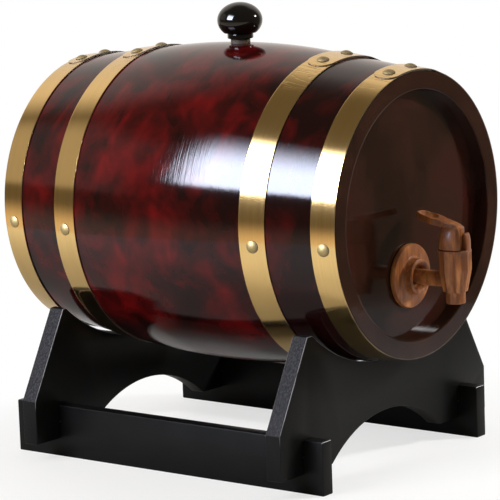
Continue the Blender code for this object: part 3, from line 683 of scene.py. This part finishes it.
def strap_shape(outer, inner, edge):
    """A strap that follows the taper all round and laps over its own start."""
    middle, half = (outer + inner) / 2, (outer - inner) / 2
    shares = (-1, -0.94, -0.5, 0, 0.5, 0.94, 1)
    shape = bmesh.new()
    row = [shape.verts.new((0, share, 0)) for share in shares]
    edges = [shape.edges.new(pair) for pair in zip(row, row[1:])]
    rows = [row]
    stations = strap_stations(abs(half))
    for _ in stations[1:]:
        grown = bmesh.ops.extrude_edge_only(shape, edges=edges)["geom"]
        edges = [item for item in grown if isinstance(item, bmesh.types.BMEdge)
                 and all(vert in grown for vert in item.verts)]
        row = sorted({vert for item in edges for vert in item.verts}, key=lambda vert: vert.co.y)
        edges = [item for item in edges if item.verts[0] in row and item.verts[1] in row]
        rows.append(row)
    for row, (angle, rise, width) in zip(rows, stations):
        turn = math.radians(angle)
        for vert, share in zip(row, shares):
            y = middle + abs(half) * share * width
            radius = cask_radius(y) + HOOP_FACE + rise
            vert.co = (-radius * math.sin(turn), y, radius * math.cos(turn))
    shape.normal_update()
    for face in shape.faces:
        centre = face.calc_center_median()
        if face.normal.dot(Vector((centre.x, 0, centre.z))) < 0:
            face.normal_flip()
    carrier = as_object(shape, "strap")
    wall = carrier.modifiers.new("wall", "SOLIDIFY")
    wall.thickness = HOOP_THICKNESS
    wall.offset = -1.0
    wall.use_even_offset = True
    solid = evaluated(carrier)
    round_edges(solid, edge, 2, 50)
    return moved(solid, CASK_PLACE)


def rivet_shape(hoop, rivet):
    """A domed head, with a soft rim, square on the tapering strap."""
    rim, steps = 0.0003, 8
    ball = (RIVET_RADIUS ** 2 + (RIVET_HEIGHT - rim) ** 2) / (2 * (RIVET_HEIGHT - rim))
    turns = [math.asin(RIVET_RADIUS / ball) * i / steps for i in range(steps + 1)]
    profile = [(ball * math.sin(turn), RIVET_HEIGHT - ball * (1 - math.cos(turn))) for turn in turns]
    profile += [(RIVET_RADIUS, 0.0), (SHANK_RADIUS, 0.0), (SHANK_RADIUS, -SHANK_LENGTH),
                (0, -SHANK_LENGTH)]
    shape = revolve(profile, 32)
    outer, inner = HOOPS[hoop]
    degrees, lift = RIVETS[rivet]
    y = (outer + inner) / 2
    angle = math.radians(degrees)
    radius = cask_radius(y) + lift + HOOP_FACE
    seat = at(-radius * math.sin(angle), y, radius * math.cos(angle))
    tilt = TAPER_ANGLE if y < 0 else -TAPER_ANGLE
    square = Matrix.Rotation(-angle, 4, "Y") @ Matrix.Rotation(tilt, 4, "X")
    return moved(shape, CASK_PLACE @ seat @ square)


def knob_shape():
    """An oblate ball on a short collar, with its peg."""
    centre, half_height, radius, steps = 0.0150, 0.0120, 0.01505, 28
    collar_top, collar_base, collar_radius, edge = 0.0063, 0.0030, 0.0086, 0.0004
    peg_radius, peg_end = 0.0020, -0.0090
    low = -math.asin((centre - collar_top - edge) / half_height)
    turns = [math.pi / 2 + (low - math.pi / 2) * i / steps for i in range(steps + 1)]
    profile = [(radius * math.cos(turn) if i else 0, centre + half_height * math.sin(turn))
               for i, turn in enumerate(turns)]
    profile += [(collar_radius - 1.5 * edge, collar_top),
                (collar_radius - edge * 0.3, collar_top - edge * 0.5),
                (collar_radius, collar_top - edge * 1.4), (collar_radius, collar_base + edge),
                (collar_radius - edge, collar_base), (peg_radius, collar_base), (peg_radius, peg_end),
                (0, peg_end)]
    return moved(revolve(profile, 96), BUNG_PLACE)


def cork_shape():
    """A cork, tapered below its grip, with a hole for the knob's peg."""
    top, radius, edge = 0.0029, 0.0065, 0.0005
    grip, end, end_radius = -0.0058, -0.0180, 0.0054
    peg_hole, peg_floor = 0.0021, -0.0093
    profile = [(0, peg_floor), (peg_hole, peg_floor), (peg_hole, top), (radius - edge, top),
               (radius, top - edge), (radius, grip), (end_radius + edge, end + edge), (end_radius, end),
               (0, end)]
    return moved(revolve(profile, 64), BUNG_PLACE)


def dome_profile(top, steps):
    """The key head's outline from a height down to its seat: a rounded button on a soft shoulder."""
    crown, shoulder, flat = 0.0350, 0.0240, 0.0048
    heights = [shoulder + (top - shoulder) * (1 - i / steps) for i in range(steps + 1)]
    shares = [(height - shoulder) / (crown - shoulder) for height in heights]
    return [(flat + (DOME_RADIUS - flat) * math.sqrt(1 - share ** 2), height)
            for height, share in zip(heights, shares)]


def tap_body_shape(grid):
    """Fluted barrel with a round spout, neck and tail, and the stop lip at its front."""
    belly, belly_height, flutes, foot_steps = BARREL_RADIUS, 0.0070, 8, 6
    rim, ring, scoop_length, lip_inner = 0.0008, 0.001, 0.0025, 0.0071
    outline = [(0, BARREL_TOP), (belly - rim, BARREL_TOP), (belly, BARREL_TOP - 0.0006)]
    outline += [(belly, BARREL_TOP - ring * i) for i in range(1, 12)] + [(belly, belly_height)]
    outline += [(belly + (BARREL_FOOT_RADIUS - belly) * i / foot_steps,
                 belly_height + (BARREL_FOOT - belly_height) * i / foot_steps)
                for i in range(1, foot_steps + 1)] + [(0, BARREL_FOOT)]
    barrel = revolve(outline, 96)
    for vert in barrel.verts:
        turn = math.atan2(vert.co.y, vert.co.x) + math.radians(RIDGE_DEG)
        scoop = min(max((BARREL_TOP - rim - vert.co.z) / scoop_length, 0), 1)
        hollow = 1 - FLUTE_DEPTH * math.sqrt(scoop) * abs(math.sin(turn * flutes / 2))
        vert.co = (vert.co.x * hollow, vert.co.y * hollow, vert.co.z)
    spout = moved(drum(SPOUT_RADIUS, BARREL_FOOT - SPOUT_BOTTOM + ring),
                  at(0, 0, SPOUT_BOTTOM))
    body = combine(barrel, spout, "UNION")
    shoulder = NECK_LENGTH - HUB_LENGTH / 2
    body = combine(body, moved(drum(NECK_RADIUS, shoulder + FIT_GAP), ALONG_Y), "UNION")
    tail = moved(drum(TAIL_RADIUS, HEAD_THICKNESS + 0.017), at(0, shoulder, 0) @ ALONG_Y)
    body = combine(body, tail, "UNION")
    low = BARREL_TOP - ring
    lip_outline = [(lip_inner, LIP_TOP)] + dome_profile(LIP_TOP, 6) + [(DOME_RADIUS, low), (lip_inner, low)]
    body = combine(body, revolve(lip_outline, 16, sector=LIP_DEG), "UNION")
    length = BARREL_TOP - SPOUT_BOTTOM + 2 * OVERRUN
    seat = moved(drum(PLUG_TIP_RADIUS, length, 64, SEAT_RADIUS + SEAM_GAP),
                 at(0, 0, SPOUT_BOTTOM - OVERRUN))
    body = combine(body, seat)
    way = moved(drum(BORE_RADIUS, NECK_LENGTH + 0.03, 32), Matrix.Rotation(math.pi / 32, 4, "Y") @ ALONG_Y)
    body = combine(body, way)
    return moved(softened(body, grid, 2), TAP_PLACE)


def rosette_shape():
    """Turned collar with a raised hub, dished round the neck."""
    bore, back = TAIL_RADIUS + SEAM_GAP, -NECK_LENGTH + SEAM_GAP
    face, hub = back + 0.0037, back + HUB_LENGTH
    profile = [(bore, hub - 0.0026), (bore + 0.0010, hub - 0.0010), (bore + 0.0022, hub),
               (HUB_RADIUS - 0.0012, hub), (HUB_RADIUS - 0.0003, hub - 0.0006), (HUB_RADIUS, hub - 0.0018),
               (HUB_RADIUS, face + 0.0012), (HUB_RADIUS + 0.0006, face + 0.0004),
               (HUB_RADIUS + 0.0018, face), (ROSETTE_RADIUS - 0.0016, face),
               (ROSETTE_RADIUS - 0.0005, face - 0.0004), (ROSETTE_RADIUS, face - 0.0014),
               (ROSETTE_RADIUS, back + 0.0006), (ROSETTE_RADIUS - 0.0006, back), (bore, back)]
    shape = revolve(profile, 96, closed=True)
    return moved(shape, TAP_PLACE @ Matrix.Rotation(math.pi / 2, 4, "X"))


def lever_shape():
    """A spoon-shaped lever whose dished thumb piece lies towards the cask, higher than its stem."""
    stem, spoon, thickness, edge, sink = 0.0052, 0.0068, 0.0042, 0.0006, 0.0018
    wall, dish_depth, dish_middle, dish_reach = 0.0010, 0.0034, 0.755, 0.215
    length = (LEVER_TIP - LEVER_BACK) / math.cos(math.radians(LEVER_SLOPE_DEG))
    shape = bmesh.new()
    bmesh.ops.create_circle(shape, cap_ends=True, segments=96, radius=1.0)
    for vert in shape.verts:
        along = (vert.co.y + 1) / 2
        widen = min(max((along - 0.40) / 0.16, 0), 1)
        width = stem + (spoon - stem) * widen * widen * (3 - 2 * widen)
        side = math.copysign(min(abs(vert.co.x) ** 0.6, 1), vert.co.x)
        vert.co = (side * width, along * length, 0)
    round_edges(extruded(shape, (0, 0, thickness)), edge, 2, 60)
    bmesh.ops.translate(shape, verts=shape.verts[:], vec=(0, 0, -thickness / 2))
    dish = bmesh.new()
    bmesh.ops.create_uvsphere(dish, u_segments=48, v_segments=24, radius=1.0,
                              matrix=at(0, length * dish_middle, thickness / 2 + wall)
                              @ Matrix.Diagonal((spoon - wall, length * dish_reach, dish_depth, 1)))
    shape = combine(shape, dish)
    place = at(0, LEVER_BACK, LEVER_HEIGHT - sink)
    return moved(shape, place @ Matrix.Rotation(math.radians(LEVER_SLOPE_DEG), 4, "X"))


def tap_key_shape(grid):
    """Tapered plug under a domed head, cut back to clear the stop lip, with the lever on top."""
    edge, seat, tip = 0.0005, BARREL_TOP + FIT_GAP, SPOUT_BOTTOM + 0.001
    profile = [(0, DOME_TOP)] + dome_profile(DOME_TOP, 12)
    profile += [(DOME_RADIUS, seat + edge), (DOME_RADIUS - edge, seat), (PLUG_RADIUS, seat),
                (PLUG_TIP_RADIUS, tip), (0, tip)]
    key = revolve(profile, 64)
    wide, high = DOME_RADIUS + OVERRUN, DOME_TOP + OVERRUN
    clearing = [(CORE_RADIUS, high), (wide, high), (wide, BARREL_TOP), (CORE_RADIUS, BARREL_TOP)]
    key = combine(key, revolve(clearing, 48, sector=CLEARING_DEG))
    key = combine(key, lever_shape(), "UNION")
    way = moved(drum(BORE_RADIUS, 2 * BORE_RADIUS - tip + OVERRUN, 32),
                at(0, 0, tip - OVERRUN))
    key = combine(key, way)
    port = moved(drum(BORE_RADIUS, PLUG_RADIUS + OVERRUN, 32), Matrix.Rotation(-math.pi / 2, 4, "Y"))
    key = combine(key, port)
    return moved(softened(key, grid, 2), TAP_PLACE)


def dressed(shape, edge):
    """Clear a sawn shape's cuts of scraps, round its arrises and set it below the cask's middle."""
    bmesh.ops.dissolve_limit(shape, angle_limit=math.radians(0.2), verts=shape.verts[:],
                             edges=shape.edges[:])
    bmesh.ops.remove_doubles(shape, verts=shape.verts[:], dist=edge)
    round_edges(shape, edge, 3, 30)
    return moved(shape, at(0, CASK_Y, 0))


def board_shape(side, edge):
    """An upright board with its saddle, arch and notches for the rails."""
    right = [(BOARD_HALF_WIDTH, FOOT_HEIGHT), (BOARD_HALF_WIDTH, KNEE_HEIGHT), (TIP_HALF_WIDTH, TIP_HEIGHT)]
    outline = right + [(-x, z) for x, z in reversed(right)]
    shape = bmesh.new()
    front = side * BOARD_CENTRE - BOARD_THICKNESS / 2
    shape.faces.new([shape.verts.new((x, front, z)) for x, z in outline])
    extruded(shape, (0, BOARD_THICKNESS, 0))
    outer = BOARD_CENTRE + BOARD_THICKNESS / 2 + OVERRUN
    inner = BOARD_CENTRE - BOARD_THICKNESS / 2 - OVERRUN
    centre = AXIS_Z - cask_radius(BOARD_CENTRE) - FIT_GAP / 2 + SADDLE_RADIUS
    saddle = drum(SADDLE_RADIUS - TAPER * (outer - BOARD_CENTRE), outer - inner, 256,
                  SADDLE_RADIUS + TAPER * (BOARD_CENTRE - inner))
    moved(saddle, at(0, side * outer, centre) @ Matrix.Rotation(side * math.pi / 2, 4, "X"))
    shape = combine(shape, saddle)
    arch = moved(drum(ARCH_RADIUS, BOARD_THICKNESS + 2 * OVERRUN, 256),
                 at(0, front - OVERRUN, ARCH_TOP - ARCH_RADIUS) @ ALONG_Y)
    shape = combine(shape, arch)
    for hand in (-1, 1):
        middle = hand * (RAIL_OUTER - RAIL_THICKNESS / 2)
        half = RAIL_THICKNESS / 2 + SEAM_GAP
        notch = block((middle - half, front - OVERRUN, FOOT_HEIGHT - OVERRUN),
                      (middle + half, front + BOARD_THICKNESS + OVERRUN, LAP_HEIGHT + SEAM_GAP / 2))
        shape = combine(shape, notch)
    return dressed(shape, edge)


def rail_shape(hand, edge):
    """A rail on edge, notched from above for the boards."""
    middle = hand * (RAIL_OUTER - RAIL_THICKNESS / 2)
    half = RAIL_THICKNESS / 2
    shape = block((middle - half, RAIL_ENDS[0], 0), (middle + half, RAIL_ENDS[1], RAIL_HEIGHT))
    for side in (-1, 1):
        y, deep = side * BOARD_CENTRE, BOARD_THICKNESS / 2 + SEAM_GAP
        notch = block((middle - half - OVERRUN, y - deep, LAP_HEIGHT - SEAM_GAP / 2),
                      (middle + half + OVERRUN, y + deep, RAIL_HEIGHT + OVERRUN))
        shape = combine(shape, notch)
    return dressed(shape, edge)


# Operators

class CASK_OT_staves(Operator):
    """Add the lacquered ring of staves"""
    bl_idname = "cask.staves"
    bl_label = "Staves"

    def execute(self, context):
        nodes = [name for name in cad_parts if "stave" in name]
        finish = lacquered_staves(context.scene.cask_finish)
        add_piece("lacquered_staves", staves_shape(), "cask", finish, nodes)
        return {"FINISHED"}


class CASK_OT_heads(Operator):
    """Add the two recessed heads"""
    bl_idname = "cask.heads"
    bl_label = "Heads"

    def execute(self, context):
        finish = stained_head(context.scene.cask_finish)
        for end, side in (("front", -1), ("rear", 1)):
            nodes = [f"{end}_head_{place}_board" for place in ("left", "centre", "right")]
            add_piece(f"{end}_head", head_shape(side), "cask", finish, nodes)
        return {"FINISHED"}


class CASK_OT_hoops(Operator):
    """Add the four brass straps"""
    bl_idname = "cask.hoops"
    bl_label = "Hoops"

    def execute(self, context):
        # The strap walls turn dull grey in full: worn edges with painted shade along them
        finish = brushed_brass(context.scene.cask_finish, "hoop_brass_polished", (9, 2600, 9), 0.06, 1.0)
        for hoop, (outer, inner) in HOOPS.items():
            shape = strap_shape(outer, inner, context.scene.cask_shapes.hoop_edge)
            add_piece(f"{hoop}_strap", shape, "cask", finish, [f"{hoop}_hoop"])
        return {"FINISHED"}


class CASK_OT_rivets(Operator):
    """Add the domed rivets of the straps"""
    bl_idname = "cask.rivets"
    bl_label = "Rivets"

    def execute(self, context):
        # The rivets' rims turn dull grey at 0.75: worn brass with painted shade round the rims
        finish = brushed_brass(context.scene.cask_finish, "rivet_brass_worn_painted_rim_shade", (500, 500, 500), 0.50, 0.75,
                               tone=(0.52, 0.58, 0.64))
        for hoop in HOOPS:
            for rivet in RIVETS:
                name = f"{hoop}_hoop_rivet_{rivet}"
                add_piece(f"{name}_head", rivet_shape(hoop, rivet), "cask", finish, [name])
        return {"FINISHED"}


class CASK_OT_stopper(Operator):
    """Add the cork and its ball knob"""
    bl_idname = "cask.stopper"
    bl_label = "Stopper"

    def execute(self, context):
        look = context.scene.cask_finish
        add_piece("ball_knob", knob_shape(), "stopper", gloss_black(look), ["stopper_knob"])
        add_piece("cork", cork_shape(), "stopper", natural_cork(look), ["stopper_cork"])
        return {"FINISHED"}


class CASK_OT_tap(Operator):
    """Add the tap's body, key and rosette"""
    bl_idname = "cask.tap"
    bl_label = "Tap"

    def execute(self, context):
        finish = oiled_wood(context.scene.cask_finish)
        grid = context.scene.cask_shapes.carving
        add_piece("carved_tap_body", tap_body_shape(grid), "cask", finish, ["tap_body"],
                  sharp_deg=70)
        add_piece("turned_rosette", rosette_shape(), "cask", finish, ["tap_rosette"])
        add_piece("carved_tap_key", tap_key_shape(grid), "key", finish, ["tap_key"],
                  sharp_deg=70)
        return {"FINISHED"}


class CASK_OT_stand(Operator):
    """Add the stand's boards and rails"""
    bl_idname = "cask.stand"
    bl_label = "Stand"

    def execute(self, context):
        finish = black_stain(context.scene.cask_finish)
        edge = context.scene.cask_shapes.wood_edge
        for end, side in (("front", -1), ("rear", 1)):
            add_piece(f"{end}_stand_board", board_shape(side, edge), "stand", finish,
                      [f"stand_{end}_board"], sharp_deg=25)
        for hand, side in (("left", -1), ("right", 1)):
            add_piece(f"{hand}_stand_rail", rail_shape(side, edge), "stand", finish,
                      [f"stand_{hand}_rail"], sharp_deg=25)
        return {"FINISHED"}


class CASK_OT_dowels(Operator):
    """Give the dowels inside the heads their wood"""
    bl_idname = "cask.dowels"
    bl_label = "Dowels"

    def execute(self, context):
        finish = bare_wood()
        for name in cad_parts:
            if name.endswith("_dowel"):
                for slot in bpy.data.objects[name].material_slots:
                    slot.material = finish
        return {"FINISHED"}


# Studio

def light_world(backdrop):
    """A pale backdrop behind the cask and a dim warm room in front; the camera sees plain white."""
    world = bpy.data.worlds.new("studio")
    bpy.context.scene.world = world
    f = Finish(world)
    x, y, z = f.axes(f.node("ShaderNodeTexCoord", output="Generated"))
    flat = (x * x + y * y).math("POWER", 0.5).higher(0.001)
    behind = ((x * backdrop.x + y * backdrop.y) / flat).ease(0.40, 0.78) * (1.0 - z.ease(0.70, 0.91))
    card = ((y * 0.90 - x * 0.44) / flat).ease(0.93, 0.98) * z.ease(0.06, 0.13) * (1.0 - z.ease(0.5, 0.62))
    pale = f.mix((behind * 0.9).higher(card * 0.42), (0.150, 0.125, 0.090), (1.0, 0.93, 0.86))
    below = (1.0 - z.ease(-0.27, -0.03)) * (0.0 - x).ease(0.0, 0.3)
    room = f.mix(below, pale, (0.92, 0.76, 0.60))
    seen = f.ray("Camera").higher(f.ray("Transmission"))
    shader = f.node("ShaderNodeBackground", None, {"Color": f.mix(seen, room, (1, 1, 1)), "Strength": 1.0})
    f.close(shader, "World")


def floor_finish(radius):
    """Pale floor with a soft shadow near the object and plain white further out; in reflections it is dimmer,
    with painted shade near the cask and to its right.
    """
    f = new_finish("pale_floor")
    spot = f.place()
    far = f.length(spot).ease(radius * 0.22, radius * 0.5)
    aside = f.length(f.place((1, 0.4, 1))).ease(radius * 0.18, radius * 0.65)
    right = f.axes(spot)[0].ease(radius * 0.15, radius * 0.6)
    seen, glossy = f.ray("Camera").higher(f.ray("Transmission")), f.ray("Glossy")
    glow = (seen * (0.68 + far * 0.32)).higher(glossy * aside)
    # Reflections see painted shade on the floor near the cask and towards its right
    dim = glossy * ((1.0 - aside) * 0.4).higher(right * 0.6)
    matt = f.node("ShaderNodeBsdfDiffuse", None, {"Color": (0.86, 0.86, 0.86, 1)})
    white = f.node("ShaderNodeEmission", None, {"Color": (1, 1, 1, 1), "Strength": 1.0})
    dark = f.node("ShaderNodeBsdfDiffuse", None, {"Color": (0.05, 0.05, 0.05, 1)})
    shader = f.node("ShaderNodeMixShader", None, {0: glow, 1: matt, 2: white})
    shader = f.node("ShaderNodeMixShader", None, {0: dim, 1: shader, 2: dark})
    return f.close(shader)


def add_panel(name, place, width, height, power, seen):
    """A rectangular lamp that faces the cask and lights its matt surfaces or shows in its gloss."""
    light = bpy.data.lights.new(name, "AREA")
    light.shape = "RECTANGLE"
    light.size = width
    light.size_y = height
    light.energy = power
    lamp = linked(name, light)
    lamp.location = place
    aim = Vector((0, CASK_Y, AXIS_Z)) - Vector(place)
    lamp.rotation_euler = aim.to_track_quat("-Z", "Y").to_euler()
    lamp.visible_glossy = seen != "matt"
    lamp.visible_diffuse = seen != "gloss"
    return lamp


def fade_panel(light):
    """Let a lamp fade towards its upper and rear edges and give it a cool tint."""
    f = Finish(light)
    u, v, _ = f.axes(f.node("ShaderNodeNewGeometry", output="Parametric"))
    level = u.ease(0.0, 0.25) * v.ease(0.0, 0.09) * (1.0 - v.ease(0.40, 1.0) * 0.97)
    shader = f.node("ShaderNodeEmission", None, {"Color": (0.74, 0.80, 1.0, 1), "Strength": level})
    f.close(shader, "Light")


def add_camera(studio):
    """The photograph's view: a long lens, slightly above and tilted."""
    turn, rise, roll = studio.azimuth, studio.elevation, studio.roll
    back = Vector((math.sin(turn) * math.cos(rise), -math.cos(turn) * math.cos(rise), math.sin(rise)))
    right = Vector((math.cos(turn), math.sin(turn), 0))
    up = back.cross(right)
    right, up = (right * math.cos(roll) + up * math.sin(roll), up * math.cos(roll) - right * math.sin(roll))
    target = Vector((0, CASK_Y, AXIS_Z))
    camera = linked("camera", bpy.data.cameras.new("camera"))
    matrix = Matrix((right, up, back)).transposed().to_4x4()
    matrix.translation = target + back * studio.distance + up * studio.rise
    camera.matrix_world = matrix
    camera.data.lens = studio.lens
    camera.data.sensor_width = 36
    camera.data.clip_start = 0.05
    bpy.context.scene.camera = camera
    return back


class CASK_OT_stage(Operator):
    """Add the floor, lights, world and camera"""
    bl_idname = "cask.stage"
    bl_label = "Studio"

    def execute(self, context):
        studio = context.scene.cask_studio
        shape = bmesh.new()
        bmesh.ops.create_circle(shape, cap_ends=True, segments=96, radius=studio.floor_radius)
        floor = as_object(shape, "studio_floor")
        floor.data.materials.append(floor_finish(studio.floor_radius))
        back = add_camera(studio)
        light_world(Vector((-back.x, -back.y, 0)).normalized())
        key, fill, front = studio.key_light, studio.fill_light, studio.front_light
        # Each shine lamp stands a centimetre nearer than its matt twin, which would hide it otherwise
        add_panel("soft_box", (-0.93, 0.34, 0.80), 0.56, 0.72, key, "matt")
        shine = add_panel("soft_box_shine", (-0.92, 0.34, 0.79), 0.62, 0.72, key * 8.0, "gloss")
        fade_panel(shine.data)
        add_panel("overhead_fill", (0.1, -0.2, 1.9), 1.6, 1.6, fill, "matt")
        add_panel("front_lamp", (0.85, -0.94, 0.78), 0.24, 0.16, front, "matt")
        add_panel("front_lamp_shine", (0.84, -0.93, 0.77), 0.24, 0.16, front * 0.3, "gloss")
        context.scene.view_settings.view_transform = "Standard"
        return {"FINISHED"}


class CASK_PT_sidebar(Panel):
    """Lists the cask's pieces and settings"""
    bl_label = "Cask"
    bl_idname = "CASK_PT_sidebar"
    bl_space_type = "VIEW_3D"
    bl_region_type = "UI"
    bl_category = "Cask"

    def draw(self, context):
        layout = self.layout
        for group in (context.scene.cask_finish, context.scene.cask_shapes, context.scene.cask_studio):
            box = layout.box()
            for name in group.bl_rna.properties.keys():
                if name not in ("rna_type", "name"):
                    box.prop(group, name)
        for operator in OPERATORS:
            layout.operator(operator.bl_idname)


OPERATORS = (CASK_OT_staves, CASK_OT_heads, CASK_OT_hoops, CASK_OT_rivets, CASK_OT_stopper, CASK_OT_tap,
             CASK_OT_stand, CASK_OT_dowels, CASK_OT_stage)
CLASSES = (CaskFinish, CaskShapes, CaskStudio, *OPERATORS, CASK_PT_sidebar)


def register():
    for item in CLASSES:
        bpy.utils.register_class(item)
    bpy.types.Scene.cask_finish = PointerProperty(type=CaskFinish)
    bpy.types.Scene.cask_shapes = PointerProperty(type=CaskShapes)
    bpy.types.Scene.cask_studio = PointerProperty(type=CaskStudio)


def unregister():
    del bpy.types.Scene.cask_finish
    del bpy.types.Scene.cask_shapes
    del bpy.types.Scene.cask_studio
    for item in reversed(CLASSES):
        bpy.utils.unregister_class(item)


def main():
    register()
    bpy.ops.cask.staves()
    bpy.ops.cask.heads()
    bpy.ops.cask.hoops()
    bpy.ops.cask.rivets()
    bpy.ops.cask.stopper()
    bpy.ops.cask.tap()
    bpy.ops.cask.stand()
    bpy.ops.cask.dowels()
    bpy.ops.cask.stage()


if __name__ == "__main__":
    main()
